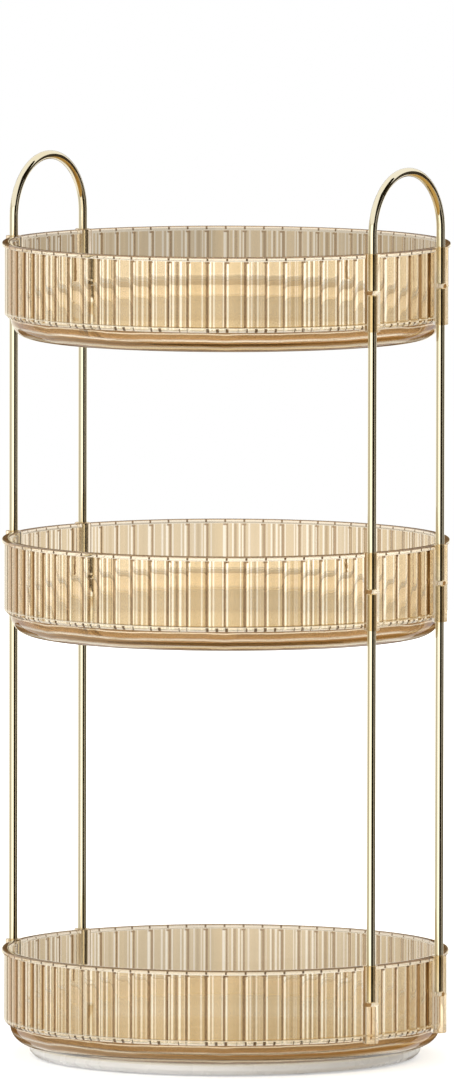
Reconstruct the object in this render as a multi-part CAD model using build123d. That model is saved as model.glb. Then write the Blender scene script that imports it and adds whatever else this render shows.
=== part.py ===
from build123d import *

import math
import os

# Rotating makeup organizer: three reeded clear trays on slim rods, two arched handles and a
# ball-bearing turntable. Millimetres, +Z up, origin on the table below the centre, with the
# handles along X and the front towards -Y.

# Trays, which are three alike mouldings
rim_radius = 117.0
rim_band_height = 2.3
rim_overhang = 1.3
rim_bevel = 0.6
wall_height = 39.2
wall_thickness = 2.6
reed_count = 72
reed_depth = 0.6
reed_end_bevel = 1.3
bowl_height = 10.8
bowl_inset = 3.2
bowl_round = 9.8
bowl_inner_bevel = 3.5
floor_thickness = 2.4
recess_depth = 1.4
foot_ring_width = 4.2

# Sockets that hold the rods, on the outside of each tray
rod_outset = 1.0
rod_angle = 15.4
socket_wall = 1.9
socket_drop = 1.2
socket_bevel = 0.6
upper_socket_depth = 19.2
partition_thickness = 2.0

# Rods and handles
rod_diameter = 4.5
rod_fit = 0.05
rod_end_bevel = 0.4
lower_pitch = 215.0
upper_pitch = 155.0
handle_rise = 43.0

# Snap lugs that hold the turntable plate in the bottom tray's recess
lug_count = 6
lug_length = 12.0
lug_reach = 1.5
lug_height = 0.6

# Turntable
foot_lift = 0.9
base_radius = 102.2
base_floor = 1.8
base_skirt = 2.2
base_edge_bevel = 2.4
base_lip_bevel = 0.8
base_gap = 0.4
plate_thickness = 2.0
plate_fit = 0.2
rib_count = 12
rib_width = 1.4
rib_height = 1.1
ball_count = 8
ball_diameter = 4.4
race_radius = 68.0
race_depth = 0.35
race_clearance = 0.05
race_width = 3.0
cage_width = 11.0
cage_thickness = 1.6
cage_pocket_fit = 0.15

# Pivot at the turntable's centre
hub_radius = 6.0
hub_running_fit = 0.08
hub_axial_play = 0.15
well_depth = 2.4
well_margin = 1.6
washer_radius = 8.8
washer_thickness = 0.8
screw_radius = 1.75
screw_fit = 0.05
screw_head_radius = 3.8
screw_head_height = 1.3
screw_grip = 4.0
screw_slot_width = 0.9

# Rubber feet
foot_count = 6
foot_radius = 6.0
foot_pocket_depth = 0.7
foot_pocket_fit = 0.1
foot_circle = 88.0
foot_bevel = 0.3

# Radii that follow from the sizes above
crest_radius = rim_radius - rim_overhang
bowl_radius = crest_radius - bowl_inset
foot_ring_radius = bowl_radius - bowl_round
recess_radius = foot_ring_radius - foot_ring_width
plate_radius = recess_radius - plate_fit
rod_circle = rim_radius + rod_outset
rod_radius = rod_diameter / 2
socket_radius = rod_radius + rod_fit
socket_outer_radius = socket_radius + socket_wall
ball_radius = ball_diameter / 2

# Heights inside one tray, from the underside of its foot ring
tray_height = wall_height + bowl_height
socket_bottom = bowl_height - socket_drop
partition_top = tray_height - upper_socket_depth
partition_bottom = partition_top - partition_thickness
floor_top = recess_depth + floor_thickness

# Heights above the table
base_floor_top = foot_lift + base_floor
plate_bottom = base_floor_top + ball_diameter - 2 * race_depth
plate_top = plate_bottom + plate_thickness
ball_centre = (base_floor_top + plate_bottom) / 2
bottom_tray_z = plate_top - recess_depth
middle_tray_z = bottom_tray_z + lower_pitch
top_tray_z = middle_tray_z + upper_pitch
base_top = bottom_tray_z - base_gap
well_ceiling = foot_lift + well_depth
hub_end = well_ceiling - hub_axial_play
handle_top = top_tray_z + tray_height + handle_rise

corner_angles = {
    "right_front": -rod_angle,
    "right_back": rod_angle,
    "left_front": 180.0 + rod_angle,
    "left_back": 180.0 - rod_angle,
}


def at(radius, degrees, height=0.0):
    """A point on a circle about the centre line."""
    turn = math.radians(degrees)
    return Vector(radius * math.cos(turn), radius * math.sin(turn), height)


def turned(points, rounds=(), bevels=()):
    """A solid of revolution from a closed radius-height outline, with some corners eased."""
    outline = make_face(Polyline(*points, close=True))
    for corners, ease in ((rounds, fillet), (bevels, chamfer)):
        for corner, size in corners:
            target = Vector(*corner)
            nearest = min(outline.vertices(), key=lambda v: (v.center() - target).length)
            outline = ease(nearest, size)
    return revolve(Plane.XZ * outline, Axis.Z)


def upright(radius, height, bottom=0.0):
    """A cylinder that stands on the given height."""
    align = (Align.CENTER, Align.CENTER, Align.MIN)
    return Pos(0, 0, bottom) * Cylinder(radius, height, align=align)


def reeded_drum():
    """The outside of the tray's wall: convex reeds side by side, bevelled at their lower ends."""
    pitch = 360.0 / reed_count
    groove = crest_radius - reed_depth
    reeds = []
    for index in range(reed_count):
        crest = (index + 0.5) * pitch
        start = at(groove, crest - pitch / 2)
        end = at(groove, crest + pitch / 2)
        reeds.append(ThreePointArc(start, at(crest_radius, crest), end))
    reeded_height = wall_height - rim_band_height
    drum = Pos(0, 0, bowl_height) * extrude(make_face(reeds), reeded_height)
    bevel = turned([
        (crest_radius - reed_end_bevel, bowl_height),
        (crest_radius + reed_end_bevel, bowl_height),
        (crest_radius + reed_end_bevel, bowl_height + 2 * reed_end_bevel),
    ])
    return drum - bevel


def rim_band():
    """The plain band round the top of the wall, with eased edges."""
    low = tray_height - rim_band_height
    return turned(
        [(0, low), (rim_radius, low), (rim_radius, tray_height), (0, tray_height)],
        bevels=[((rim_radius, low), rim_bevel), ((rim_radius, tray_height), rim_bevel)],
    )


def bowl():
    """The rounded lower part of the tray, down to its foot ring."""
    overlap = bowl_height + rim_band_height
    return turned(
        [(0, 0), (bowl_radius, 0), (bowl_radius, overlap), (0, overlap)],
        rounds=[((bowl_radius, 0), bowl_round)],
    )


def tray_cavity():
    """The space inside the tray, which follows the outside at the wall's thickness."""
    above = tray_height + rim_band_height
    wall = crest_radius - wall_thickness
    inner_bowl = bowl_radius - floor_thickness
    ledge = bowl_height + floor_thickness
    return turned(
        [
            (0, floor_top),
            (inner_bowl, floor_top),
            (inner_bowl, ledge),
            (wall, ledge),
            (wall, above),
            (0, above),
        ],
        bevels=[((inner_bowl, floor_top), bowl_inner_bevel)],
    )


def socket_post():
    """One post of double sockets on the wall, bevelled at its lower end."""
    post = upright(socket_outer_radius, tray_height - socket_bottom, socket_bottom)
    return chamfer(post.edges().sort_by(Axis.Z)[0], socket_bevel)


def socket_holes():
    """The upper and the lower blind hole of a post, with the partition left between them."""
    upper = upright(socket_radius, upper_socket_depth + rim_band_height, partition_top)
    lower = upright(socket_radius, partition_bottom, 0)
    return [upper, lower]


def snap_lug():
    """A short ledge on the inside of the foot ring, under the turntable plate's flange."""
    sweep_angle = math.degrees(lug_length / recess_radius)
    outline = Polyline(
        (recess_radius - lug_reach, 0),
        (recess_radius + foot_ring_width / 2, 0),
        (recess_radius + foot_ring_width / 2, lug_height),
        (recess_radius - lug_reach, lug_height),
        close=True,
    )
    lug = revolve(Plane.XZ * make_face(outline), Axis.Z, sweep_angle)
    return Rot(0, 0, -sweep_angle / 2) * lug


def make_tray():
    """One tray moulding: reeded wall, rim band, bowl, foot ring and four socket posts."""
    outside = bowl() + reeded_drum() + rim_band()
    for angle in corner_angles.values():
        outside += Pos(at(rod_circle, angle)) * socket_post()
    tray = outside - tray_cavity() - upright(recess_radius, recess_depth)
    for angle in corner_angles.values():
        for hole in socket_holes():
            tray -= Pos(at(rod_circle, angle)) * hole
    for index in range(lug_count):
        tray += Rot(0, 0, (index + 0.5) * 360.0 / lug_count) * snap_lug()
    return tray


def make_rod(pitch, tray_z, angle):
    """A straight rod from one tray's partition up to the underside of the next tray's."""
    length = pitch - partition_thickness
    rod = upright(rod_radius, length)
    rod = chamfer(rod.edges().filter_by(GeomType.CIRCLE), rod_end_bevel)
    return Pos(at(rod_circle, angle, tray_z + partition_top)) * rod


def make_handle(side):
    """An arch over two neighbouring rods, with its legs in the top tray's upper sockets."""
    legs = at(rod_circle, rod_angle)
    arch_radius = legs.Y
    plane_x = side * legs.X
    leg_foot = top_tray_z + partition_top
    spring_line = handle_top - rod_radius - arch_radius
    front_foot = Vector(plane_x, -arch_radius, leg_foot)
    front_spring = Vector(plane_x, -arch_radius, spring_line)
    crown = Vector(plane_x, 0, spring_line + arch_radius)
    back_spring = Vector(plane_x, arch_radius, spring_line)
    back_foot = Vector(plane_x, arch_radius, leg_foot)
    path = Wire([
        Edge.make_line(front_foot, front_spring),
        Edge.make_three_point_arc(front_spring, crown, back_spring),
        Edge.make_line(back_spring, back_foot),
    ])
    handle = sweep(Plane(front_foot, z_dir=(0, 0, 1)) * Circle(rod_radius), path)
    ends = handle.edges().group_by(Axis.Z)[0]
    return chamfer(ends, rod_end_bevel)


def ring_of_ribs(inner, outer, bottom, height):
    """Radial ribs between two radii."""
    align = (Align.MIN, Align.CENTER, Align.MIN)
    rib = Pos(inner, 0, bottom) * Box(outer - inner, rib_width, height, align=align)
    return [Rot(0, 0, index * 360.0 / rib_count) * rib for index in range(rib_count)]


def race_channel():
    """The space that the balls run in, which leaves a flat-bottomed channel in each plate."""
    reach = ball_radius + race_clearance
    inner = race_radius - race_width / 2
    outer = race_radius + race_width / 2
    return turned([
        (inner, ball_centre - reach),
        (outer, ball_centre - reach),
        (outer, ball_centre + reach),
        (inner, ball_centre + reach),
    ])


def make_base_plate():
    """The white dish on the table: skirt, ribbed floor, lower race and raised centre."""
    hole = hub_radius + hub_running_fit
    well = washer_radius + well_margin
    inner_skirt = base_radius - base_skirt
    plate = turned(
        [
            (hole, well_ceiling),
            (well, well_ceiling),
            (well, foot_lift),
            (base_radius, foot_lift),
            (base_radius, base_top),
            (inner_skirt, base_top),
            (inner_skirt, base_floor_top),
            (well + base_floor, base_floor_top),
            (well + base_floor, well_ceiling + base_floor),
            (hole, well_ceiling + base_floor),
        ],
        bevels=[
            ((base_radius, foot_lift), base_edge_bevel),
            ((base_radius, base_top), base_lip_bevel),
        ],
    )
    rib_bottom = base_floor_top - base_floor / 2
    rib_rise = rib_height + base_floor / 2
    race_inner = race_radius - cage_width / 2 - rib_width
    race_outer = race_radius + cage_width / 2 + rib_width
    inner_ribs = ring_of_ribs(well + base_floor / 2, race_inner, rib_bottom, rib_rise)
    outer_ribs = ring_of_ribs(race_outer, inner_skirt + base_skirt / 2, rib_bottom, rib_rise)
    plate += inner_ribs + outer_ribs
    plate -= race_channel()
    pocket = upright(foot_radius + foot_pocket_fit, foot_pocket_depth, foot_lift)
    for index in range(foot_count):
        plate -= Pos(at(foot_circle, (index + 0.5) * 360.0 / foot_count)) * pocket
    return plate


def make_turntable_plate():
    """The disc that turns with the trays, snapped into the bottom tray's recess."""
    flange_bottom = bottom_tray_z + lug_height
    step = plate_radius - lug_reach - plate_fit
    plate = turned([
        (0, hub_end),
        (hub_radius, hub_end),
        (hub_radius, plate_bottom),
        (step, plate_bottom),
        (step, flange_bottom),
        (plate_radius, flange_bottom),
        (plate_radius, plate_top),
        (0, plate_top),
    ])
    rib_bottom = plate_bottom - rib_height
    rib_rise = rib_height + plate_thickness / 2
    race_inner = race_radius - cage_width / 2 - rib_width
    race_outer = race_radius + cage_width / 2 + rib_width
    first = washer_radius + well_margin + base_floor + rib_width
    inner_ribs = ring_of_ribs(first, race_inner, rib_bottom, rib_rise)
    outer_ribs = ring_of_ribs(race_outer, step - rib_width, rib_bottom, rib_rise)
    plate += inner_ribs + outer_ribs
    plate -= race_channel()
    return plate - upright(screw_radius + screw_fit, screw_grip + screw_fit, hub_end)


def make_ball_cage():
    """The flat ring that keeps the balls apart."""
    half = cage_width / 2
    low = ball_centre - cage_thickness / 2
    high = ball_centre + cage_thickness / 2
    cage = turned([
        (race_radius - half, low),
        (race_radius + half, low),
        (race_radius + half, high),
        (race_radius - half, high),
    ])
    pocket = upright(ball_radius + cage_pocket_fit, cage_thickness, low)
    for index in range(ball_count):
        cage -= Pos(at(race_radius, index * 360.0 / ball_count)) * pocket
    return cage


def make_bearing_balls():
    """The balls, one in each pocket of the cage."""
    ball = Sphere(ball_radius)
    step = 360.0 / ball_count
    return [Pos(at(race_radius, index * step, ball_centre)) * ball for index in range(ball_count)]


def make_pivot_washer():
    """The wide washer that holds the base plate up against the hub."""
    low = hub_end - washer_thickness
    disc = upright(washer_radius, washer_thickness, low)
    return disc - upright(screw_radius + screw_fit, washer_thickness, low)


def make_pivot_screw():
    """The pan-head screw up the middle of the hub, with a cross recess."""
    seat = hub_end - washer_thickness
    low = seat - screw_head_height
    screw = turned(
        [
            (0, low),
            (screw_head_radius, low),
            (screw_head_radius, seat),
            (screw_radius, seat),
            (screw_radius, hub_end + screw_grip - screw_radius / 2),
            (screw_radius / 2, hub_end + screw_grip),
            (0, hub_end + screw_grip),
        ],
        bevels=[((screw_head_radius, low), screw_head_height / 2)],
    )
    slot = Box(screw_head_radius, screw_slot_width, screw_head_height)
    for turn in (0, 90):
        screw -= Pos(0, 0, low) * Rot(0, 0, turn) * slot
    return screw


def make_rubber_feet():
    """The pads in the base plate's pockets, which stand on the table."""
    foot = upright(foot_radius, foot_lift + foot_pocket_depth)
    foot = chamfer(foot.edges().sort_by(Axis.Z)[0], foot_bevel)
    step = 360.0 / foot_count
    return [Pos(at(foot_circle, (index + 0.5) * step)) * foot for index in range(foot_count)]


def write(name, shape):
    """One STEP file per piece or group of like pieces."""
    if isinstance(shape, list):
        shape = Compound([item.solid() for item in shape])
    export_step(shape, f"parts/{name}.step")


def main():
    os.makedirs("parts", exist_ok=True)
    tray = make_tray()
    write("tray_bottom", Pos(0, 0, bottom_tray_z) * tray)
    write("tray_middle", Pos(0, 0, middle_tray_z) * tray)
    write("tray_top", Pos(0, 0, top_tray_z) * tray)
    for corner, angle in corner_angles.items():
        write(f"lower_rod_{corner}", make_rod(lower_pitch, bottom_tray_z, angle))
        write(f"upper_rod_{corner}", make_rod(upper_pitch, middle_tray_z, angle))
    write("handle_right", make_handle(1))
    write("handle_left", make_handle(-1))
    write("base_plate", make_base_plate())
    write("turntable_plate", make_turntable_plate())
    write("ball_cage", make_ball_cage())
    write("bearing_balls", make_bearing_balls())
    write("pivot_washer", make_pivot_washer())
    write("pivot_screw", make_pivot_screw())
    write("rubber_feet", make_rubber_feet())


main()
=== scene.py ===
"""Rotating makeup organizer: the looks of its clear amber trays, gold rods and white turntable.

The pieces stand in the row's own frame, in metres, with +Z up along the turntable's axis.
"""

import math
from typing import NamedTuple

import bmesh
import bpy
from bpy.props import FloatProperty, FloatVectorProperty, IntProperty, PointerProperty
from mathutils import Matrix, Vector


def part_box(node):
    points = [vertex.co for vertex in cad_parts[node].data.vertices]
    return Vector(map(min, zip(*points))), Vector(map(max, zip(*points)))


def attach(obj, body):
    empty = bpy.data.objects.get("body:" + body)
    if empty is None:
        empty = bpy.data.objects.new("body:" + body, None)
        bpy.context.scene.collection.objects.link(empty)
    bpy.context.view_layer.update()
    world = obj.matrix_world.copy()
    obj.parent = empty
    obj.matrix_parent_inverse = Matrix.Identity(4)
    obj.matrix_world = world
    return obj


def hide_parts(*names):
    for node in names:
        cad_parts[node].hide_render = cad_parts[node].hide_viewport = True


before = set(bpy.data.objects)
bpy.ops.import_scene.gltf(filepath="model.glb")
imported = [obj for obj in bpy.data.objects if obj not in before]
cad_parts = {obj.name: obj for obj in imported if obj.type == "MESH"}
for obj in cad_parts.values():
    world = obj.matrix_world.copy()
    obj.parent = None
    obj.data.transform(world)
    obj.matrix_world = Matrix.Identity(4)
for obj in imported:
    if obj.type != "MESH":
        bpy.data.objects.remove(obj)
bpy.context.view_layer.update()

bl_info = {
    "name": "Rotating Makeup Organizer",
    "version": (1, 0, 0),
    "blender": (4, 5, 0),
    "location": "3D View > Sidebar > Organizer",
    "description": "Builds the trays and base of a rotating makeup organizer and finishes its parts",
    "category": "Add Mesh",
}

MM = 0.001
FULL_TURN = 2 * math.pi
TRAYS = ("tray_bottom", "tray_middle", "tray_top")
CORNERS = ("right_front", "right_back", "left_front", "left_back")
RODS = [f"{level}_rod_{corner}" for level in ("lower", "upper") for corner in CORNERS]
HANDLES = ("handle_right", "handle_left")

tray_low, tray_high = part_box("tray_bottom")
base_low, base_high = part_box("base_plate")
rod_low, rod_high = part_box("lower_rod_right_back")
ROD_CENTRE = (rod_low + rod_high) / 2

# With these steps round a reed, a post and a socket the booleans leave no open edge
REED_STEPS = 10
POST_STEPS = 52
SOCKET_STEPS = 44


def length(name, description, default, **options):
    """A size in metres."""
    return FloatProperty(
        name=name, description=description, default=default, unit="LENGTH", precision=5, **options
    )


def colour(name, description, default):
    """A linear colour."""
    return FloatVectorProperty(
        name=name, description=description, default=default, subtype="COLOR", size=3, min=0, max=1
    )


class TrayMoulding(bpy.types.PropertyGroup):
    """Sizes of one tray moulding."""

    height: length("Height", "From the foot ring to the top of the rim", tray_high.z - tray_low.z)
    rim_radius: length("Rim radius", "Outside of the plain band round the top", tray_high.y)
    band_height: length("Band height", "Height of the plain band round the top", 2.3 * MM)
    band_overhang: length("Band overhang", "How far the band stands out past the reeds", 1.3 * MM)
    rim_round: length("Rim round", "Radius of the rim's upper edges", 0.9 * MM)
    wall_thickness: length("Wall thickness", "Thickness of the wall at a reed's crest", 2.6 * MM)
    reed_count: IntProperty(name="Reeds", description="Convex reeds round the wall", default=72)
    reed_depth: length("Reed depth", "From a reed's crest down to the groove beside it", 0.60 * MM)
    reed_fullness: FloatProperty(
        name="Reed fullness", description="How flat a reed's front is: 2 is a plain arc", default=5.0
    )
    reed_bevel: length("Reed bevel", "Bevel at the reeds' lower ends", 1.3 * MM)
    bowl_height: length("Bowl height", "Height of the rounded lower part", 10.8 * MM)
    bowl_inset: length("Bowl inset", "How far the bowl stands back from the reeds", 3.2 * MM)
    bowl_round: length("Bowl round", "Radius of the bowl's outside corner", 9.8 * MM)
    inner_round: length("Inner round", "Radius of the bowl's inside corner", 6.0 * MM)
    floor_thickness: length("Floor thickness", "Thickness of the floor and the bowl", 2.4 * MM)
    recess_depth: length("Recess depth", "Depth of the recess under the floor", 1.5 * MM)
    foot_ring_width: length("Foot ring width", "Width of the ring that the tray stands on", 4.2 * MM)
    post_radius: length("Post radius", "Outside of the tubes that hold the rods", 4.05 * MM)
    bead_radius: length("Bead radius", "Bead round a post, level with its partition", 4.2 * MM)
    post_drop: length("Post drop", "How far the posts reach below the reeds", 1.2 * MM)
    socket_radius: length("Socket radius", "Inside of the tubes", 2.3 * MM)
    socket_depth: length("Socket depth", "Depth of the upper sockets", 19.25 * MM)
    partition: length("Partition", "Thickness between the upper and the lower socket", 1.9 * MM)


class AmberPlastic(bpy.types.PropertyGroup):
    """Tints of the clear amber plastic, and the colours of its painted highlights and shade."""

    reed: colour("Reeds", "Tint of the reeds", (0.45, 0.285, 0.118))
    second: colour("Second reeds", "Tint that single reeds vary towards", (0.40, 0.235, 0.08))
    # Light is the colour of the painted highlights; Lines and Shade are the colours of the painted shade
    light: colour("Light", "Pale line on one side of each groove", (1.0, 0.88, 0.64))
    line: colour("Lines", "Brown line on the other side of each groove", (0.07, 0.026, 0.007))
    bowl: colour("Bowl", "Deeper tint of the rounded lower part", (0.18, 0.064, 0.012))
    post: colour("Posts", "Lighter tint of the posts", (0.80, 0.65, 0.44))
    shade: colour("Shade", "Dark tint of the ticks at the reeds' ends", (0.006, 0.0015, 0.0003))
    inside: colour("Inside", "Tint of an inside surface that is seen directly", (0.47, 0.41, 0.33))
    passing: colour("Passing light", "Tint of light that crosses a surface unbent", (0.80, 0.74, 0.635))
    gleam: colour("Gleam", "Tint of what the plastic mirrors", (1.0, 0.78, 0.5))
    fading: FloatProperty(
        name="Fading", description="How fast the tint gets lighter on the surfaces behind the first",
        default=0.5, min=0,
    )
    # The lines that hush fades are the painted highlight and shade lines
    hush: FloatProperty(
        name="Hush", description="How far the lines fade on the surfaces that are seen through a wall",
        default=0.85, min=0, max=1,
    )


class GoldPlating(bpy.types.PropertyGroup):
    """Colours of the rods' gold plating."""

    bright: colour("Bright", "Main colour of the plating", (0.88, 0.80, 0.60))
    deep: colour("Deep", "Colour of the plating's slightly richer patches", (0.84, 0.74, 0.50))


class WhiteParts(bpy.types.PropertyGroup):
    """Sizes and colours of the base."""

    shell: colour("Shell", "White plastic of the base and the turntable", (0.89, 0.88, 0.86))
    edge_round: length("Edge round", "Radius that eases the base's lower edge", 1.6 * MM)
    lip_round: length("Lip round", "Radius that eases the base's upper edge", 0.35 * MM)


class Studio(bpy.types.PropertyGroup):
    """The studio and the camera."""

    azimuth: FloatProperty(
        name="Azimuth", description="Camera's direction, from the front", default=math.radians(34.8),
        subtype="ANGLE",
    )
    elevation: FloatProperty(
        name="Elevation", description="Camera's height above the horizon", default=math.radians(4.955),
        subtype="ANGLE",
    )
    roll: FloatProperty(
        name="Roll", description="Camera's turn about its own axis", default=math.radians(0.102),
        subtype="ANGLE",
    )
    distance: length("Distance", "From the camera to the organizer's middle", 10.5)
    focal_length: FloatProperty(name="Focal length", description="In millimetres", default=670.4)
    aim_height: length("Aim height", "Height that the camera looks at", 0.2707)
    aim_shift: length("Aim shift", "How far right of the axis the camera looks", 0.00055)
    ambient: FloatProperty(name="Ambient", description="Strength of the even light", default=0.60)
    key_power: FloatProperty(name="Key", description="Power of the main softbox in watts", default=15.0)
    floor_glow: FloatProperty(
        name="Floor glow", description="What lifts the floor round the organizer to white", default=0.45
    )


def finished_object(name, bm):
    """A scene object from a bmesh, smooth except at its sharp edges."""
    sharp = math.radians(32)
    for edge in bm.edges:
        edge.smooth = edge.is_manifold and edge.calc_face_angle(0) < sharp
    for face in bm.faces:
        face.smooth = True
    mesh = bpy.data.meshes.new(name)
    bm.to_mesh(mesh)
    bm.free()
    piece = bpy.data.objects.new(name, mesh)
    bpy.context.scene.collection.objects.link(piece)
    return piece


def spun_solid(corners, steps):
    """A closed solid of revolution, from an outline that runs from axis to axis.

    A corner is a radius and a height, followed by a round's size and segments where it is eased.
    """
    merge_reach = 0.002 * MM
    bm = bmesh.new()
    verts = [bm.verts.new((radius, 0, height)) for radius, height, *_ in corners]
    for pair in zip(verts, verts[1:]):
        bm.edges.new(pair)
    for vert, (_, _, *easing) in zip(verts, corners):
        if easing:
            size, segments = easing
            bmesh.ops.bevel(
                bm, geom=[vert], offset=size, segments=segments, profile=0.5, affect="VERTICES",
                clamp_overlap=False, material=-1,
            )
    bmesh.ops.spin(
        bm, geom=bm.verts[:] + bm.edges[:], cent=(0, 0, 0), axis=(0, 0, 1), angle=FULL_TURN,
        steps=steps, use_merge=True,
    )
    bmesh.ops.remove_doubles(bm, verts=bm.verts[:], dist=merge_reach)
    bmesh.ops.recalc_face_normals(bm, faces=bm.faces[:])
    return bm


def combined(piece, tool, operation):
    """The piece after a boolean with the tool, which is used up."""
    modifier = piece.modifiers.new("combine", "BOOLEAN")
    modifier.operation = operation
    modifier.solver = "EXACT"
    modifier.object = tool
    bpy.context.view_layer.update()
    graph = bpy.context.evaluated_depsgraph_get()
    mesh = bpy.data.meshes.new_from_object(piece.evaluated_get(graph))
    piece.modifiers.clear()
    piece.data = mesh
    bpy.data.objects.remove(tool)
    return piece


def tray_outline(size):
    """Half section of the moulding without its posts, from the floor's centre round to the recess."""
    floor_relief = 0.1 * MM
    ledge_round = 0.9 * MM
    underside_round = size.rim_round / 2
    step_round = 0.5 * MM
    foot_round = 0.3 * MM
    crest = size.rim_radius - size.band_overhang
    wall_inside = crest - size.wall_thickness
    bowl_outside = crest - size.bowl_inset
    bowl_inside = bowl_outside - size.floor_thickness
    recess = bowl_outside - size.bowl_round - size.foot_ring_width
    floor_top = size.recess_depth + size.floor_thickness - floor_relief
    ledge = size.bowl_height + size.floor_thickness
    band = size.height - size.band_height
    return [
        (0, floor_top),
        (bowl_inside, floor_top, size.inner_round, 8),
        (bowl_inside, ledge, ledge_round, 4),
        (wall_inside, ledge, ledge_round, 4),
        (wall_inside, size.height, size.rim_round, 4),
        (size.rim_radius, size.height, size.rim_round, 4),
        (size.rim_radius, band, underside_round, 4),
        (crest, band),
        (crest, size.bowl_height + size.reed_bevel),
        (crest - size.reed_bevel, size.bowl_height),
        (bowl_outside, size.bowl_height, step_round, 3),
        (bowl_outside, 0, size.bowl_round, 12),
        (recess, 0, foot_round, 2),
        (recess, size.recess_depth),
        (0, size.recess_depth),
    ]


def press_reeds(bm, size):
    """Crowds the wall's steps towards the grooves and sinks the grooves into the wall."""
    pitch = FULL_TURN / size.reed_count
    crowding = 1.7
    crest = size.rim_radius - size.band_overhang
    top = size.height - size.band_height
    foot = size.bowl_height
    reach = 0.01 * MM
    for vert in bm.verts:
        radius = math.hypot(vert.co.x, vert.co.y)
        if radius < reach:
            continue
        angle = math.atan2(vert.co.y, vert.co.x)
        place = angle / pitch
        groove = round(place)
        offset = 2 * (place - groove)
        share = abs(offset) ** crowding
        turned = (groove + math.copysign(share, offset) / 2) * pitch
        on_wall = radius > crest - reach and foot + reach < vert.co.z < top + reach
        if on_wall and radius < crest + reach:
            rise = 1 - (1 - share) ** size.reed_fullness
            radius -= size.reed_depth * (1 - rise)
        vert.co.x = radius * math.cos(turned)
        vert.co.y = radius * math.sin(turned)


def post_positions():
    """Centres of the four posts."""
    return [Vector((sx * ROD_CENTRE.x, sy * ROD_CENTRE.y, 0)) for sx in (1, -1) for sy in (1, -1)]


def only_verts(geometry):
    """The vertices in a list of vertices, edges and faces."""
    return [item for item in geometry if isinstance(item, bmesh.types.BMVert)]


def four_copies(bm):
    """Repeats a solid on the axis at the four posts."""
    source = bm.verts[:] + bm.edges[:] + bm.faces[:]
    for place in post_positions():
        made = bmesh.ops.duplicate(bm, geom=source)["geom"]
        bmesh.ops.translate(bm, verts=only_verts(made), vec=place)
    bmesh.ops.delete(bm, geom=only_verts(source))
    return bm


def post_solid(size):
    """The outside of the posts, each with a bead level with its partition."""
    proud = 0.12 * MM
    half_bead = 0.55 * MM
    foot_round = 0.6 * MM
    mouth_round = 0.4 * MM
    bottom = size.bowl_height - size.post_drop
    top = size.height + proud
    middle = size.height - size.socket_depth - size.partition / 2
    corners = [
        (0, bottom),
        (size.post_radius, bottom, foot_round, 3),
        (size.post_radius, middle - half_bead),
        (size.bead_radius, middle - half_bead / 2),
        (size.bead_radius, middle + half_bead / 2),
        (size.post_radius, middle + half_bead),
        (size.post_radius, top, mouth_round, 3),
        (0, top),
    ]
    return four_copies(spun_solid(corners, POST_STEPS))


def socket_solid(size, bottom, top):
    """The inside of the four sockets between two heights."""
    corners = [(0, bottom), (size.socket_radius, bottom), (size.socket_radius, top), (0, top)]
    return four_copies(spun_solid(corners, SOCKET_STEPS))


def tray_mesh(size):
    """One tray moulding, standing on z = 0, with the posts' faces in a second material slot."""
    past_ends = 1 * MM
    merge_reach = 0.003 * MM
    bm = spun_solid(tray_outline(size), REED_STEPS * size.reed_count)
    press_reeds(bm, size)
    piece = finished_object("tray_moulding", bm)
    piece = combined(piece, finished_object("posts", post_solid(size)), "UNION")
    floor = size.height - size.socket_depth
    upper = socket_solid(size, floor, size.height + past_ends)
    piece = combined(piece, finished_object("upper_sockets", upper), "DIFFERENCE")
    lower = socket_solid(size, size.bowl_height - size.post_drop - past_ends, floor - size.partition)
    piece = combined(piece, finished_object("lower_sockets", lower), "DIFFERENCE")
    bm = bmesh.new()
    bm.from_mesh(piece.data)
    bpy.data.objects.remove(piece)
    bmesh.ops.remove_doubles(bm, verts=bm.verts[:], dist=merge_reach)
    reach = size.bead_radius + 0.1 * MM
    places = post_positions()
    for face in bm.faces:
        middle = face.calc_center_median()
        face.material_index = int(any((middle - place).xy.length < reach for place in places))
    return bm


def add_attributes(mesh, rim_edge):
    """Stores each point's height above the foot ring in millimetres, and whether it is outside."""
    layer = mesh.attributes.new("moulding_height", "FLOAT", "POINT")
    layer.data.foreach_set("value", [vert.co.z / MM for vert in mesh.vertices])
    steep = 0.35
    outside = []
    for vert in mesh.vertices:
        outwards = vert.co.xy.normalized().dot(vert.normal.xy)
        on_rim = vert.co.z > rim_edge
        outside.append(float(outwards > steep or vert.normal.z < -steep or on_rim))
    layer = mesh.attributes.new("moulding_outside", "FLOAT", "POINT")
    layer.data.foreach_set("value", outside)


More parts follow.
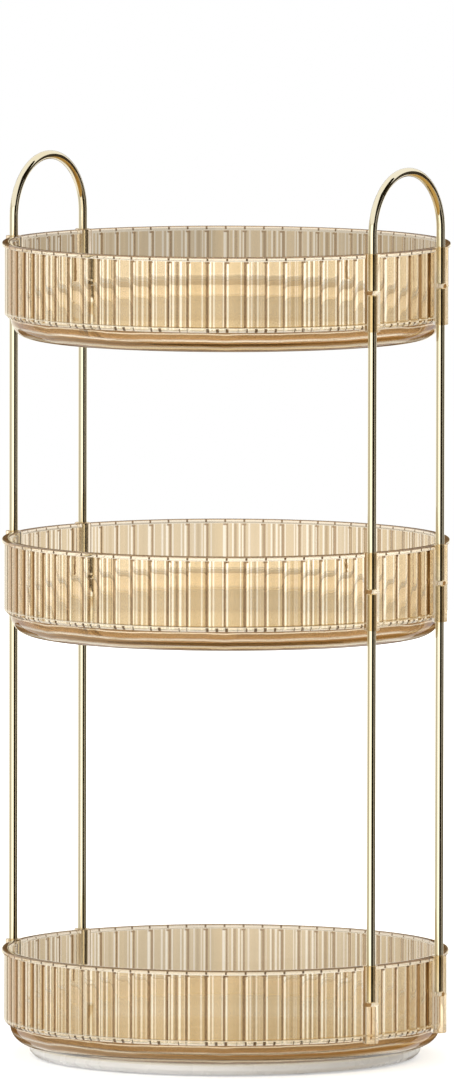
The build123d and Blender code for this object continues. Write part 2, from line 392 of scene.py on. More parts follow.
class NodeGraph:
    """Shorthand for placing and joining shader nodes."""

    COLUMN_WIDTH = 220
    ROW_HEIGHT = 180
    ROWS = 5

    def __init__(self, tree):
        self.tree = tree
        self.count = 0

    def add(self, kind, inputs=(), **settings):
        """A node with its settings, and with its inputs linked or set."""
        node = self.tree.nodes.new(kind)
        column, row = divmod(self.count, self.ROWS)
        node.location = (column * self.COLUMN_WIDTH, -row * self.ROW_HEIGHT)
        self.count += 1
        for name, value in settings.items():
            setattr(node, name, value)
        for key, value in dict(inputs).items():
            if isinstance(value, bpy.types.NodeSocket):
                self.link(value, node.inputs[key])
            else:
                node.inputs[key].default_value = value
        return node

    def link(self, start, end):
        """Joins an output to an input."""
        self.tree.links.new(start, end)

    def show(self, shader):
        """Makes a node's shader the surface of the material."""
        output = self.tree.nodes.get("Material Output") or self.add("ShaderNodeOutputMaterial")
        self.link(shader.outputs[0], output.inputs["Surface"])

    def math(self, operation, first, second=0.0):
        """The result of a sum on one or two values."""
        return self.add("ShaderNodeMath", {0: first, 1: second}, operation=operation).outputs[0]

    def ramp(self, value, low, high, start=0.0, end=1.0):
        """A soft change from start to end while the value goes from low to high."""
        inputs = {"Value": value, "From Min": low, "From Max": high, "To Min": start, "To Max": end}
        node = self.add("ShaderNodeMapRange", inputs, interpolation_type="SMOOTHSTEP")
        return node.outputs["Result"]

    def fall(self, value, low, high):
        """One up to the low value, falling to nothing at the high one."""
        return self.ramp(value, low, high, start=1.0, end=0.0)

    def band(self, value, centre, inner, outer):
        """One within the inner distance of the centre, falling to nothing at the outer."""
        return self.fall(self.math("ABSOLUTE", self.math("SUBTRACT", value, centre)), inner, outer)

    def mix(self, factor, first, second):
        """The second colour over the first."""
        return self.add("ShaderNodeMix", {0: factor, 6: first, 7: second}, data_type="RGBA").outputs[2]

    def grey_of(self, number):
        """One random grey for each number."""
        return self.add("ShaderNodeTexWhiteNoise", {"W": number}, noise_dimensions="1D").outputs[0]

    def drift(self, value, scale, detail):
        """A random grey that changes softly along a line, less the middle grey."""
        inputs = {"W": value, "Scale": scale, "Detail": detail}
        grey = self.add("ShaderNodeTexNoise", inputs, noise_dimensions="1D").outputs[0]
        return self.math("SUBTRACT", grey, 0.5)

    def noise(self, vector, scale, detail=2.0, roughness=0.5):
        """A random grey that changes softly in space."""
        inputs = {"Vector": vector, "Scale": scale, "Detail": detail, "Roughness": roughness}
        return self.add("ShaderNodeTexNoise", inputs).outputs["Fac"]

    def masked(self, grey, mask):
        """How far the grey is from the middle grey, where the mask lets it show."""
        return self.math("MULTIPLY", self.math("SUBTRACT", grey, 0.5), mask)

    def stops(self, value, pairs):
        """A curve through pairs of place and height, both from 0 to 1."""
        node = self.add("ShaderNodeValToRGB", {0: value})
        elements = node.color_ramp.elements
        elements.remove(elements[1])
        for index, (place, grey) in enumerate(pairs):
            element = elements.new(place) if index else elements[0]
            element.position = place
            element.color = (grey, grey, grey, 1)
        return node.outputs[0]


def new_group(name, inputs, outputs):
    """An empty shader node group with the named sockets, and its graph."""
    tree = bpy.data.node_groups.new(name, "ShaderNodeTree")
    for socket, kind, default in inputs:
        made = tree.interface.new_socket(socket, in_out="INPUT", socket_type=kind)
        if default is not None:
            made.default_value = default
    for socket, kind in outputs:
        tree.interface.new_socket(socket, in_out="OUTPUT", socket_type=kind)
    graph = NodeGraph(tree)
    return tree, graph, graph.add("NodeGroupInput").outputs, graph.add("NodeGroupOutput").inputs


# Painted highlights and shade across a reed, from one groove to the next. Each pair is a place and a
# lightness: 0 is a brown line of painted shade, 0.5 the plain amber and 1 a pale line of painted
# highlight
PAINTED_REED_LINES = (
    (
        (0.00, 0.10), (0.05, 0.60), (0.09, 1.00), (0.15, 1.00), (0.20, 0.34), (0.26, 0.30), (0.31, 0.86),
        (0.35, 0.80), (0.39, 0.46), (0.60, 0.50), (0.74, 0.44), (0.79, 0.90), (0.83, 0.80), (0.87, 0.20),
        (0.90, 0.00), (0.97, 0.00), (1.00, 0.10),
    ),
    (
        (0.00, 0.30), (0.04, 0.96), (0.09, 1.00), (0.13, 0.30), (0.18, 0.24), (0.22, 0.94), (0.28, 0.94),
        (0.32, 0.46), (0.42, 0.10), (0.49, 0.14), (0.54, 0.96), (0.60, 0.96), (0.64, 0.42), (0.80, 0.48),
        (0.84, 0.78), (0.88, 0.26), (0.91, 0.00), (0.96, 0.02), (1.00, 0.30),
    ),
    (
        (0.00, 0.10), (0.06, 0.84), (0.12, 1.00), (0.17, 0.52), (0.42, 0.40), (0.66, 0.54), (0.72, 0.84),
        (0.77, 0.50), (0.85, 0.40), (0.91, 0.02), (0.97, 0.02), (1.00, 0.10),
    ),
)
# Painted highlights and shade up the bowl, as a lightness from the foot ring to the reeds' lower ends
PAINTED_BOWL_LINES = (
    (0.00, 0.00), (0.10, 0.02), (0.14, 0.84), (0.24, 0.68), (0.30, 0.36), (0.36, 0.08), (0.41, 0.36),
    (0.50, 0.76), (0.58, 0.56), (0.66, 0.34), (0.74, 0.22), (0.81, 0.84), (0.85, 0.50), (0.88, 0.02),
    (0.92, 0.50),
)
# Shares of the line colour in the darkest lines of painted shade, of the light colour in the painted
# highlight rows of ticks, and of the shade colour in the painted shade ticks
PAINTED_SHADE_STRENGTH = 0.95
ROW_PAINTED_HIGHLIGHT = 0.5
TICK_SHADE = 0.75
# What runs round the wall, in millimetres above the lower or the upper ends of the reeds: its middle,
# how far from there it is whole, and how far it reaches. The rows are painted highlight crossed by ticks
# of painted shade, the two lines of painted highlight run along the rim band's lower edge and above the
# reeds' feet, and the grooves' upper ends get painted shadow.
FOOT_ROW = (-0.2, 0.9, 1.1)
FOOT_PAINTED_HIGHLIGHT = (1.05, 0.1, 0.25)
GROOVE_END_PAINTED_SHADOW = (-0.6, 0.3, 0.8)
RIM_PAINTED_HIGHLIGHT = (0.05, 0.12, 0.25)
RIM_ROW = (1.0, 0.6, 0.8)


def painted_reed_light_and_shade(graph, place, reed):
    """Lines of painted highlight and shade across the reeds: they sway a little, each reed has one of
    three kinds or a blend.
    """
    sway_reach = 0.22
    another_draw = 0.37
    across = graph.math("SUBTRACT", place, reed)
    sway = graph.math("MULTIPLY", graph.drift(place, scale=1.7, detail=1.0), sway_reach)
    swaying = graph.math("FRACT", graph.math("ADD", across, sway))
    kind = graph.grey_of(graph.math("ADD", reed, another_draw))
    first, second, third = (graph.stops(swaying, profile) for profile in PAINTED_REED_LINES)
    lightness = graph.mix(graph.ramp(kind, low=0.30, high=0.45), first, second)
    return graph.mix(graph.ramp(kind, low=0.66, high=0.80), lightness, third)


def painted_bowl_light_and_shade(graph, place, height, reed_foot):
    """Painted highlight and shade lines round the bowl, which drift up and down on their way."""
    drift_reach = 3.0
    drift = graph.math("MULTIPLY", graph.drift(place, scale=0.21, detail=3.0), drift_reach)
    level = graph.math("ADD", height, drift)
    return graph.stops(graph.math("DIVIDE", level, reed_foot), PAINTED_BOWL_LINES)


def painted_reed_end_light_and_shade(graph, given, tint, place, above_foot, above_top, on_wall):
    """The tint with the painted light and shade at the reeds' ends: painted highlight rows with painted
    shade ticks, painted shadow at the grooves' ends, and lines of painted highlight.
    """
    groove = graph.math("PINGPONG", place, 0.5)
    half_reed = graph.math("PINGPONG", graph.math("MULTIPLY", place, 2.0), 0.5)
    ragged = graph.ramp(graph.drift(place, scale=2.6, detail=2.0), low=-0.08, high=0.0)
    foot_ticks = graph.math("MULTIPLY", graph.fall(half_reed, low=0.12, high=0.20), ragged)
    rim_ticks = graph.fall(groove, low=0.04, high=0.07)
    # Rows of painted highlight, crossed by ticks of painted shade
    foot_row = graph.band(above_foot, *FOOT_ROW)
    rim_row = graph.band(above_top, *RIM_ROW)
    dark = graph.mix(TICK_SHADE, given["Line Colour"], given["Shade Colour"])
    for row, ticks in ((foot_row, foot_ticks), (rim_row, rim_ticks)):
        shown = graph.math("MULTIPLY", row, on_wall)
        tint = graph.mix(graph.math("MULTIPLY", shown, ROW_PAINTED_HIGHLIGHT), tint, given["Light Colour"])
        tint = graph.mix(graph.math("MULTIPLY", shown, ticks), tint, dark)
    # Painted shadow at the grooves' upper ends
    near_groove = graph.fall(groove, low=0.08, high=0.16)
    ends = graph.math("MULTIPLY", graph.band(above_top, *GROOVE_END_PAINTED_SHADOW), near_groove)
    tint = graph.mix(graph.math("MULTIPLY", ends, on_wall), tint, given["Line Colour"])
    # Lines of painted highlight along the rim band's lower edge and above the reeds' feet
    rim_highlight = graph.band(above_top, *RIM_PAINTED_HIGHLIGHT)
    painted_highlight_lines = graph.math("MAXIMUM", rim_highlight, graph.band(above_foot, *FOOT_PAINTED_HIGHLIGHT))
    return graph.mix(graph.math("MULTIPLY", painted_highlight_lines, on_wall), tint, given["Light Colour"])


def moulded_tint_group():
    """Tint of the moulding, with the painted highlights and shade on its reeds, bowl and rim and at the
    ends of the reeds.
    """
    inputs = [
        ("Vector", "NodeSocketVector", None),
        ("Height", "NodeSocketFloat", 0.0),
        ("Outside", "NodeSocketFloat", 1.0),
        ("Pattern", "NodeSocketFloat", 1.0),
        ("Reeds", "NodeSocketFloat", 72.0),
        ("Reed Foot", "NodeSocketFloat", 12.1),
        ("Reed Top", "NodeSocketFloat", 47.7),
        ("Wall Radius", "NodeSocketFloat", 0.114),
        ("Floor Radius", "NodeSocketFloat", 0.1027),
    ]
    for name in ("Reed", "Second", "Light", "Line", "Bowl", "Shade"):
        inputs.append((f"{name} Colour", "NodeSocketColor", (1, 1, 1, 1)))
    tree, graph, given, result = new_group("tint_and_painted_shading", inputs, [("Colour", "NodeSocketColor")])
    axes = graph.add("ShaderNodeSeparateXYZ", {0: given["Vector"]}).outputs
    squares = [graph.math("POWER", axes[axis], 2.0) for axis in ("X", "Y")]
    radius = graph.math("SQRT", graph.math("ADD", *squares))
    turn = graph.math("ARCTAN2", axes["Y"], axes["X"])
    place = graph.math("MULTIPLY", turn, graph.math("DIVIDE", given["Reeds"], FULL_TURN))
    reed = graph.math("FLOOR", place)
    height = given["Height"]
    above_foot = graph.math("SUBTRACT", height, given["Reed Foot"])
    above_top = graph.math("SUBTRACT", height, given["Reed Top"])

    pattern = graph.math("MULTIPLY", given["Outside"], given["Pattern"])
    on_wall = graph.math("MULTIPLY", pattern, graph.math("GREATER_THAN", radius, given["Wall Radius"]))
    over_foot = graph.math("GREATER_THAN", above_foot, 0.0)
    on_reeds = graph.math("MULTIPLY", over_foot, graph.math("LESS_THAN", above_top, 0.0))
    on_reeds = graph.math("MULTIPLY", on_reeds, on_wall)
    off_floor = graph.math("DIVIDE", graph.math("SUBTRACT", radius, given["Floor Radius"]), MM)
    off_floor = graph.ramp(off_floor, low=-0.2, high=0.8)
    on_bowl = graph.math("MULTIPLY", pattern, graph.math("SUBTRACT", 1.0, over_foot))
    on_bowl = graph.math("MULTIPLY", on_bowl, off_floor)

    mood = graph.math("MULTIPLY", graph.grey_of(reed), over_foot)
    tint = graph.mix(mood, given["Reed Colour"], given["Second Colour"])
    low = graph.math("MULTIPLY", off_floor, graph.fall(above_foot, low=-2.0, high=0.5))
    tint = graph.mix(low, tint, given["Bowl Colour"])
    # Painted highlights in the light colour and painted shade in the line colour, across the reeds and
    # round the bowl
    reed_light = painted_reed_light_and_shade(graph, place, reed)
    bowl_light = painted_bowl_light_and_shade(graph, place, height, given["Reed Foot"])
    lightness = graph.math("ADD", 0.5, graph.masked(reed_light, on_reeds))
    lightness = graph.math("ADD", lightness, graph.masked(bowl_light, on_bowl))
    lines = graph.ramp(lightness, low=0.0, high=0.5, start=PAINTED_SHADE_STRENGTH, end=0.0)
    tint = graph.mix(lines, tint, given["Line Colour"])
    tint = graph.mix(graph.ramp(lightness, low=0.5, high=1.0), tint, given["Light Colour"])
    tint = painted_reed_end_light_and_shade(graph, given, tint, place, above_foot, above_top, on_wall)
    # Painted shade: a dark line along the top of the rim
    rim_edge = graph.ramp(above_top, low=1.5, high=1.8, end=0.9)
    tint = graph.mix(graph.math("MULTIPLY", rim_edge, given["Pattern"]), tint, given["Line Colour"])
    graph.link(tint, result["Colour"])
    return tree


def surface_variation_group():
    """Soft smudges for the gloss and a fine height for the bump, at a scale in marks per metre."""
    inputs = [
        ("Vector", "NodeSocketVector", None),
        ("Smudge Scale", "NodeSocketFloat", 30.0),
        ("Grain Scale", "NodeSocketFloat", 900.0),
        ("Stretch", "NodeSocketFloat", 1.0),
        ("Low", "NodeSocketFloat", 0.05),
        ("High", "NodeSocketFloat", 0.12),
    ]
    outputs = [(name, "NodeSocketFloat") for name in ("Roughness", "Smudge", "Height")]
    tree, graph, given, result = new_group("surface_variation", inputs, outputs)
    scale = graph.add("ShaderNodeCombineXYZ", {"X": 1.0, "Y": 1.0, "Z": given["Stretch"]}).outputs[0]
    stretched = {0: given["Vector"], 1: scale}
    vector = graph.add("ShaderNodeVectorMath", stretched, operation="MULTIPLY").outputs[0]
    smudge = graph.noise(vector, given["Smudge Scale"], detail=4.0, roughness=0.55)
    spread = graph.ramp(smudge, low=0.35, high=0.75)
    low = graph.math("MULTIPLY", given["Low"], graph.math("SUBTRACT", 1.0, spread))
    roughness = graph.math("ADD", low, graph.math("MULTIPLY", given["High"], spread))
    graph.link(roughness, result["Roughness"])
    graph.link(spread, result["Smudge"])
    graph.link(graph.noise(vector, given["Grain Scale"]), result["Height"])
    return tree


def shared_group(name, maker):
    """The node group of that name, built the first time it is asked for."""
    return bpy.data.node_groups.get(name) or maker()


def bare_material(name):
    """A material without a shader, and its graph."""
    material = bpy.data.materials.new(name)
    material.use_nodes = True
    material.node_tree.nodes.clear()
    return material, NodeGraph(material.node_tree)


def new_material(name):
    """A material with its graph, its Principled shader and the Object coordinates."""
    material, graph = bare_material(name)
    shader = graph.add("ShaderNodeBsdfPrincipled")
    graph.show(shader)
    return material, graph, shader, graph.add("ShaderNodeTexCoord").outputs["Object"]


def vary_surface(graph, shader, vector, bump, **values):
    """Links the shared variation group to the shader's roughness and normal."""
    bump_height = 0.1 * MM
    inputs = {name.replace("_", " ").title(): value for name, value in values.items()}
    tree = shared_group("surface_variation", surface_variation_group)
    group = graph.add("ShaderNodeGroup", {"Vector": vector} | inputs, node_tree=tree)
    graph.link(group.outputs["Roughness"], shader.inputs["Roughness"])
    inputs = {"Strength": bump, "Distance": bump_height, "Height": group.outputs["Height"]}
    graph.link(graph.add("ShaderNodeBump", inputs).outputs["Normal"], shader.inputs["Normal"])
    return group


def opaque(values):
    """A colour with full alpha, for a colour socket."""
    return (*values, 1.0)


# Light Path's Transmission Depth counts the surfaces that a ray has gone through: it is under the first
# of these as long as there was none, and over the second from two on
NONE_CROSSED = 0.5
ONE_CROSSED = 1.5


def amber_material(name, colours, size, ior, pattern):
    """Clear amber plastic, with the wall's pattern of painted highlights and shade, or plain for the
    posts.

    The tint is on the outside, and gets lighter with each surface that a ray has gone through. An inside
    that is seen first has a paler tint. Mirrored rays and shadow rays cross the plastic unbent.
    """
    material, graph, shader, vector = new_material(name)
    shader.inputs["Transmission Weight"].default_value = 1.0
    shader.inputs["IOR"].default_value = ior
    shader.inputs["Specular Tint"].default_value = opaque(colours.gleam)
    path = graph.add("ShaderNodeLightPath").outputs
    depth = path["Transmission Depth"]
    hushed = graph.math("MULTIPLY", graph.math("GREATER_THAN", depth, ONE_CROSSED), colours.hush)
    outside = graph.add("ShaderNodeAttribute", attribute_name="moulding_outside").outputs["Fac"]
    inputs = {
        "Vector": vector,
        "Height": graph.add("ShaderNodeAttribute", attribute_name="moulding_height").outputs["Fac"],
        "Outside": outside,
        "Pattern": graph.math("MULTIPLY", pattern, graph.math("SUBTRACT", 1.0, hushed)),
        "Reeds": size.reed_count,
        "Reed Foot": (size.bowl_height + size.reed_bevel) / MM,
        "Reed Top": (size.height - size.band_height) / MM,
        "Wall Radius": size.rim_radius - size.band_overhang - size.wall_thickness / 2,
        "Floor Radius": size.rim_radius - size.band_overhang - size.bowl_inset - size.bowl_round,
        "Reed Colour": opaque(colours.reed if pattern else colours.post),
        "Second Colour": opaque(colours.second if pattern else colours.post),
        "Light Colour": opaque(colours.light),
        "Line Colour": opaque(colours.line),
        "Bowl Colour": opaque(colours.bowl if pattern else colours.post),
        "Shade Colour": opaque(colours.shade),
    }
    tree = shared_group("tint_and_painted_shading", moulded_tint_group)
    group = graph.add("ShaderNodeGroup", inputs, node_tree=tree)
    faded = graph.math("MULTIPLY", graph.math("POWER", depth, 2.0), colours.fading)
    share = graph.math("DIVIDE", outside, graph.math("ADD", faded, 1.0))
    tint = graph.add("ShaderNodeGamma", {0: group.outputs["Colour"], 1: share}).outputs[0]
    first = graph.math("LESS_THAN", depth, NONE_CROSSED)
    inside_first = graph.math("MULTIPLY", first, graph.math("SUBTRACT", 1.0, outside))
    tint = graph.mix(inside_first, tint, opaque(colours.inside))
    graph.link(tint, shader.inputs["Base Color"])
    vary_surface(
        graph, shader, vector, bump=0.05, smudge_scale=22.0, grain_scale=260.0, low=0.01, high=0.035
    )
    faint = graph.add("ShaderNodeGamma", {0: opaque(colours.passing), 1: share}).outputs[0]
    clear = graph.add("ShaderNodeBsdfTransparent", {"Color": faint}).outputs[0]
    surface = shader
    for ray in ("Is Reflection Ray", "Is Shadow Ray"):
        surface = graph.add("ShaderNodeMixShader", {0: path[ray], 1: surface.outputs[0], 2: clear})
    graph.show(surface)
    return material


def gold_material(colours):
    """Polished gold plating with faint drawn lines and soft smudges."""
    material, graph, shader, vector = new_material("polished_gold_plating")
    shader.inputs["Metallic"].default_value = 1.0
    group = vary_surface(
        graph, shader, vector, bump=0.004, smudge_scale=45.0, grain_scale=1500.0, stretch=0.06,
        low=0.035, high=0.08,
    )
    tint = graph.mix(group.outputs["Smudge"], opaque(colours.bright), opaque(colours.deep))
    graph.link(tint, shader.inputs["Base Color"])
    return material


def plain_material(name, base, deep, metallic, low, high, bump, grain, smudge=40.0):
    """A moulded or plated finish: two close colours, varied gloss and a fine grain."""
    material, graph, shader, vector = new_material(name)
    shader.inputs["Metallic"].default_value = metallic
    group = vary_surface(
        graph, shader, vector, bump, smudge_scale=smudge, grain_scale=grain, low=low, high=high
    )
    tint = graph.mix(group.outputs["Smudge"], opaque(base), opaque(deep))
    graph.link(tint, shader.inputs["Base Color"])
    return material


def dress(node, material):
    """Gives a CAD node its finish."""
    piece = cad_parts[node]
    piece.data.materials.clear()
    piece.data.materials.append(material)


class ORGANIZER_OT_trays(bpy.types.Operator):
    """Build the three reeded trays"""

    bl_idname = "organizer.trays"
    bl_label = "Trays"

    def execute(self, context):
        scene = context.scene
        size = scene.organizer_tray
        colours = scene.organizer_amber
        wall = amber_material("clear_amber_plastic", colours, size, ior=1.49, pattern=1.0)
        posts = amber_material("clear_amber_posts", colours, size, ior=1.2, pattern=0.0)
        moulding = tray_mesh(size)
        rim_edge = size.height - size.rim_round / 2
        for node in TRAYS:
            piece = finished_object(f"{node}_moulding", moulding.copy())
            add_attributes(piece.data, rim_edge)
            piece.data.transform(Matrix.Translation((0, 0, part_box(node)[0].z)))
            piece.data.materials.append(wall)
            piece.data.materials.append(posts)
            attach(piece, "carousel")
            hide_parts(node)
        moulding.free()
        return {"FINISHED"}


class ORGANIZER_OT_rods(bpy.types.Operator):
    """Finish the rods and the handles in gold"""

    bl_idname = "organizer.rods"
    bl_label = "Rods and Handles"

    def execute(self, context):
        material = gold_material(context.scene.organizer_gold)
        for node in [*RODS, *HANDLES]:
            dress(node, material)
        return {"FINISHED"}


class ORGANIZER_OT_base(bpy.types.Operator):
    """Round the base's edges and finish it in white"""

    bl_idname = "organizer.base"
    bl_label = "Base"

    def execute(self, context):
        size = context.scene.organizer_white
        merge_reach = 0.001 * MM
        patch = 0.97
        bm = bmesh.new()
        bm.from_mesh(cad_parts["base_plate"].data)
        bmesh.ops.remove_doubles(bm, verts=bm.verts[:], dist=merge_reach)
        lower = self.ring_edges(bm, base_low.z, reach=3.0 * MM)
        upper = self.ring_edges(bm, base_high.z, reach=1.0 * MM)
        for edges, offset, segments in ((lower, size.edge_round, 5), (upper, size.lip_round, 3)):
            bmesh.ops.bevel(
                bm, geom=edges, offset=offset, segments=segments, profile=0.5, affect="EDGES",
                clamp_overlap=True, material=-1,
            )
        white = plain_material(
            "white_moulded_plastic", size.shell, [patch * part for part in size.shell], metallic=0.0,
            low=0.24, high=0.36, bump=0.05, grain=700.0,
        )
        piece = finished_object("base_dish", bm)
        piece.data.materials.clear()
        piece.data.materials.append(white)
        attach(piece, "base")
        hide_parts("base_plate")
        dress("turntable_plate", white)
        return {"FINISHED"}

    @staticmethod
    def ring_edges(bm, height, reach):
        """The sharp level edges that run round the base's outside within reach of the given height."""
        even = 0.01 * MM
        sharp = math.radians(20)
        inner = base_high.y - reach
        rings = []
        for edge in bm.edges:
            ends = [vert.co for vert in edge.verts]
            radii = [math.hypot(end.x, end.y) for end in ends]
            runs_round = abs(radii[0] - radii[1]) < even and abs(ends[0].z - ends[1].z) < even
            outside = min(radii) > inner
            near = all(abs(end.z - height) < reach for end in ends)
            if runs_round and outside and near and edge.calc_face_angle(0) > sharp:
                rings.append(edge)
        return rings


class ORGANIZER_OT_bearing(bpy.types.Operator):
    """Finish the cage, balls, pivot and feet"""

    bl_idname = "organizer.bearing"
    bl_label = "Bearing and Feet"

    def execute(self, context):
        cage = plain_material(
            "natural_plastic", (0.62, 0.60, 0.52), (0.58, 0.56, 0.48), metallic=0.0,
            low=0.42, high=0.55, bump=0.15, grain=900.0,
        )
        ball = plain_material(
            "polished_steel", (0.62, 0.62, 0.63), (0.57, 0.57, 0.59), metallic=1.0,
            low=0.05, high=0.12, bump=0.02, grain=2500.0, smudge=300.0,
        )
        zinc = plain_material(
            "bright_zinc", (0.60, 0.61, 0.63), (0.52, 0.54, 0.58), metallic=1.0,
            low=0.22, high=0.36, bump=0.12, grain=1800.0, smudge=260.0,
        )
        rubber = plain_material(
            "pale_rubber", (0.62, 0.62, 0.60), (0.56, 0.56, 0.54), metallic=0.0,
            low=0.72, high=0.86, bump=0.35, grain=1600.0, smudge=120.0,
        )
        dress("ball_cage", cage)
        dress("bearing_balls", ball)
        dress("pivot_screw", zinc)
        dress("pivot_washer", zinc)
        dress("rubber_feet", rubber)
        return {"FINISHED"}


def around_camera(studio, degrees, distance, height=0.0):
    """A place round the organizer, turned to the right of the camera's direction."""
    turn = studio.azimuth + math.radians(degrees)
    return Vector((distance * math.sin(turn), -distance * math.cos(turn), height))


def seen_rays(graph):
    """One for the rays that look straight, by metal or through glass at the surroundings."""
    path = graph.add("ShaderNodeLightPath").outputs
    mirrored = graph.math("MAXIMUM", path["Is Glossy Ray"], path["Is Transmission Ray"])
    return graph.math("MAXIMUM", path["Is Camera Ray"], mirrored)


def floor_material(glow):
    """A white floor that keeps shadows near the organizer and glows evenly further out."""
    material, graph, shader, vector = new_material("floor_white")
    shader.inputs["Base Color"].default_value = opaque((0.82, 0.82, 0.82))
    shader.inputs["Roughness"].default_value = 0.9
    shader.inputs["Specular IOR Level"].default_value = 0.0
    away = graph.add("ShaderNodeVectorMath", {0: vector}, operation="LENGTH").outputs["Value"]
    even_glow = graph.ramp(away, low=0.25, high=0.9, start=glow)
    strength = graph.math("MULTIPLY", seen_rays(graph), even_glow)
    light = graph.add("ShaderNodeEmission", {"Strength": strength})
    graph.show(graph.add("ShaderNodeAddShader", {0: shader.outputs[0], 1: light.outputs[0]}))
    return material


class Card(NamedTuple):
    """A card that only reflections show.

    It runs between two angles right of the camera, in degrees. Each of its edges is a distance from the
    axis and a height. It has one colour where it is mirrored, one where plastic turns it back inside,
    and one where it is mirrored behind plastic, unless that is the first again.
    """

    first: float
    last: float
    lower: tuple
    upper: tuple
    mirrored: tuple
    within: tuple
    through: tuple = None


def card_material(name, plan):
    """The glow of a card, by how many surfaces a ray has gone through on its way there."""
    material, graph = bare_material(name)
    depth = graph.add("ShaderNodeLightPath").outputs["Transmission Depth"]
    inside = graph.math("GREATER_THAN", graph.math("MODULO", depth, 2.0), NONE_CROSSED)
    behind = graph.math("GREATER_THAN", depth, ONE_CROSSED)
    glow = graph.mix(behind, opaque(plan.mirrored), opaque(plan.through or plan.mirrored))
    glow = graph.mix(inside, glow, opaque(plan.within))
    graph.show(graph.add("ShaderNodeEmission", {"Color": glow}))
    return material


# Glows that more than one card has
NEAR_BLACK = (0.012, 0.009, 0.004)
BROWN = (0.10, 0.05, 0.018)
AMBER = (0.75, 0.55, 0.33)
CREAM = (1.0, 0.86, 0.62)
PALE = (1.08, 0.97, 0.76)
# Distance and height of the standing cards' edges, the last two of which part the back in three
FOOT = (3.2, -1.4)
TOP = (3.2, 1.2)
BACK_FOOT = (3.2, -0.35)
BACK_TOP = (3.2, 0.3)
CARDS = {
    "card_bright": Card(-50.0, 3.0, FOOT, TOP, (1.5, 1.5, 1.46), (1.35, 1.12, 0.76)),
    "card_left": Card(-125.0, -55.0, FOOT, TOP, (0.62, 0.60, 0.54), AMBER),
    "card_dark": Card(6.0, 57.0, FOOT, TOP, NEAR_BLACK, (0.30, 0.17, 0.07)),
    "card_line": Card(58.0, 82.0, FOOT, TOP, (0.30, 0.28, 0.26), (1.0, 0.80, 0.55)),
    "card_right": Card(84.0, 128.0, FOOT, TOP, (0.05, 0.04, 0.03), (0.45, 0.28, 0.13)),
    "card_back_low": Card(150.0, 210.0, FOOT, BACK_FOOT, BROWN, CREAM, PALE),
    "card_back": Card(150.0, 210.0, BACK_FOOT, BACK_TOP, (1.2, 1.15, 1.0), CREAM, PALE),
    "card_back_high": Card(150.0, 210.0, BACK_TOP, TOP, BROWN, CREAM, PALE),
    "card_high": Card(18.0, 92.0, TOP, (3.2, 6.0), NEAR_BLACK, AMBER),
    "card_low": Card(
        -70.0, 140.0, (0.01, -1.4), (3.1, -1.4), (0.58, 0.38, 0.13), (0.9, 0.70, 0.42), (0.8, 0.72, 0.58)
    ),
}


class Softbox(NamedTuple):
    """A soft lamp: its angle right of the camera in degrees, distance from the axis, height, width,
    length, and its share of the key light's power."""

    degrees: float
    distance: float
    height: float
    width: float
    length: float
    share: float


SOFTBOXES = {
    "softbox_key": Softbox(-42.0, 1.7, 0.7, 0.8, 1.6, 1.0),
    "softbox_rim": Softbox(130.0, 1.9, 0.7, 0.6, 1.5, 0.4),
    "softbox_top": Softbox(0.0, 0.0, 1.8, 1.1, 1.1, 0.45),
}
# Height on the axis that the softboxes face
LAMP_AIM = Vector((0, 0, 0.24))


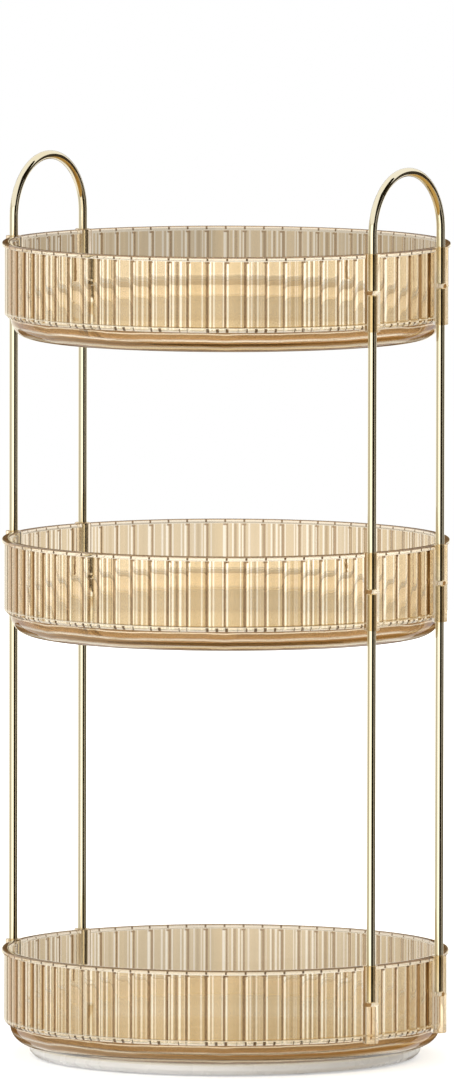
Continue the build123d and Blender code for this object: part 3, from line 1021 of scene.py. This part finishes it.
class ORGANIZER_OT_studio(bpy.types.Operator):
    """Set up the floor, the light and the camera"""

    bl_idname = "organizer.studio"
    bl_label = "Studio"

    def execute(self, context):
        studio = context.scene.organizer_studio
        self.make_world(context.scene, studio)
        self.make_floor(studio)
        for name, plan in CARDS.items():
            self.make_card(name, studio, plan)
        for name, box in SOFTBOXES.items():
            self.make_softbox(name, studio, box)
        self.make_camera(context.scene, studio)
        context.scene.view_settings.view_transform = "Standard"
        return {"FINISHED"}

    def make_world(self, scene, studio):
        """Even light, and pure white for the camera, metal and glass."""
        world = bpy.data.worlds.new("studio_white")
        scene.world = world
        world.use_nodes = True
        world.node_tree.nodes.clear()
        graph = NodeGraph(world.node_tree)
        extra = graph.math("MULTIPLY", seen_rays(graph), 1.0 - studio.ambient)
        inputs = {"Color": (1, 1, 1, 1), "Strength": graph.math("ADD", extra, studio.ambient)}
        light = graph.add("ShaderNodeBackground", inputs)
        output = graph.add("ShaderNodeOutputWorld")
        graph.link(light.outputs[0], output.inputs["Surface"])

    def make_floor(self, studio):
        """The pale floor that the organizer stands on."""
        bm = bmesh.new()
        bmesh.ops.create_circle(bm, cap_ends=True, segments=96, radius=2.6)
        floor = finished_object("studio_floor", bm)
        floor.data.materials.append(floor_material(studio.floor_glow))
        floor.visible_glossy = False

    def make_card(self, name, studio, plan):
        """Sweeps a card's edge round the axis, gives it its glow, and shows it to reflections alone."""
        bm = bmesh.new()
        edge = [around_camera(studio, plan.first, *end) for end in (plan.lower, plan.upper)]
        verts = [bm.verts.new(end) for end in edge]
        bmesh.ops.spin(
            bm, geom=[*verts, bm.edges.new(verts)], cent=(0, 0, 0), axis=(0, 0, 1),
            angle=math.radians(plan.last - plan.first), steps=12,
        )
        card = finished_object(name, bm)
        card.data.materials.append(card_material(name, plan))
        card.visible_camera = False
        card.visible_diffuse = False
        card.visible_transmission = False
        card.visible_shadow = False

    def make_softbox(self, name, studio, box):
        """A soft lamp that faces the organizer's middle."""
        lamp = bpy.data.lights.new(name, "AREA")
        lamp.shape = "RECTANGLE"
        lamp.size = box.width
        lamp.size_y = box.length
        lamp.energy = box.share * studio.key_power
        holder = bpy.data.objects.new(name, lamp)
        holder.location = around_camera(studio, box.degrees, box.distance, box.height)
        towards = LAMP_AIM - holder.location
        holder.rotation_euler = towards.to_track_quat("-Z", "Y").to_euler()
        holder.visible_camera = False
        holder.visible_glossy = False
        holder.visible_transmission = False
        bpy.context.scene.collection.objects.link(holder)

    def make_camera(self, scene, studio):
        """The photograph's long-lens view."""
        back = around_camera(studio, 0.0, math.cos(studio.elevation), math.sin(studio.elevation))
        right = Vector((math.cos(studio.azimuth), math.sin(studio.azimuth), 0))
        up = back.cross(right)
        aim = Vector((0, 0, studio.aim_height)) + right * studio.aim_shift
        axes = Matrix((right, up, back)).transposed()
        turn = axes @ Matrix.Rotation(studio.roll, 3, "Z")
        lens = bpy.data.cameras.new("camera")
        lens.lens = studio.focal_length
        lens.clip_end = 100.0
        camera = bpy.data.objects.new("camera", lens)
        place = aim + back * studio.distance
        camera.matrix_world = Matrix.LocRotScale(place, turn.to_quaternion(), None)
        scene.collection.objects.link(camera)
        scene.camera = camera


class ORGANIZER_PT_panel(bpy.types.Panel):
    """The organizer's operators and sizes"""

    bl_label = "Makeup Organizer"
    bl_idname = "ORGANIZER_PT_panel"
    bl_space_type = "VIEW_3D"
    bl_region_type = "UI"
    bl_category = "Organizer"

    def draw(self, context):
        for step in OPERATORS:
            self.layout.operator(step.bl_idname)
        for group in GROUPS:
            settings = getattr(context.scene, group)
            box = self.layout.box()
            for name in settings.bl_rna.properties.keys():
                if name not in ("rna_type", "name"):
                    box.prop(settings, name)


OPERATORS = (
    ORGANIZER_OT_trays,
    ORGANIZER_OT_rods,
    ORGANIZER_OT_base,
    ORGANIZER_OT_bearing,
    ORGANIZER_OT_studio,
)
GROUPS = {
    "organizer_tray": TrayMoulding,
    "organizer_amber": AmberPlastic,
    "organizer_gold": GoldPlating,
    "organizer_white": WhiteParts,
    "organizer_studio": Studio,
}


def register():
    """Registers the classes, and gives the scene its groups of settings."""
    for item in (*GROUPS.values(), *OPERATORS, ORGANIZER_PT_panel):
        bpy.utils.register_class(item)
    for name, group in GROUPS.items():
        setattr(bpy.types.Scene, name, PointerProperty(type=group))


def unregister():
    """Takes back what register did."""
    for name in GROUPS:
        delattr(bpy.types.Scene, name)
    for item in reversed((*GROUPS.values(), *OPERATORS, ORGANIZER_PT_panel)):
        bpy.utils.unregister_class(item)


def main():
    """Builds the organizer step by step."""
    register()
    bpy.ops.organizer.trays()
    bpy.ops.organizer.rods()
    bpy.ops.organizer.base()
    bpy.ops.organizer.bearing()
    bpy.ops.organizer.studio()


if __name__ == "__main__":
    main()
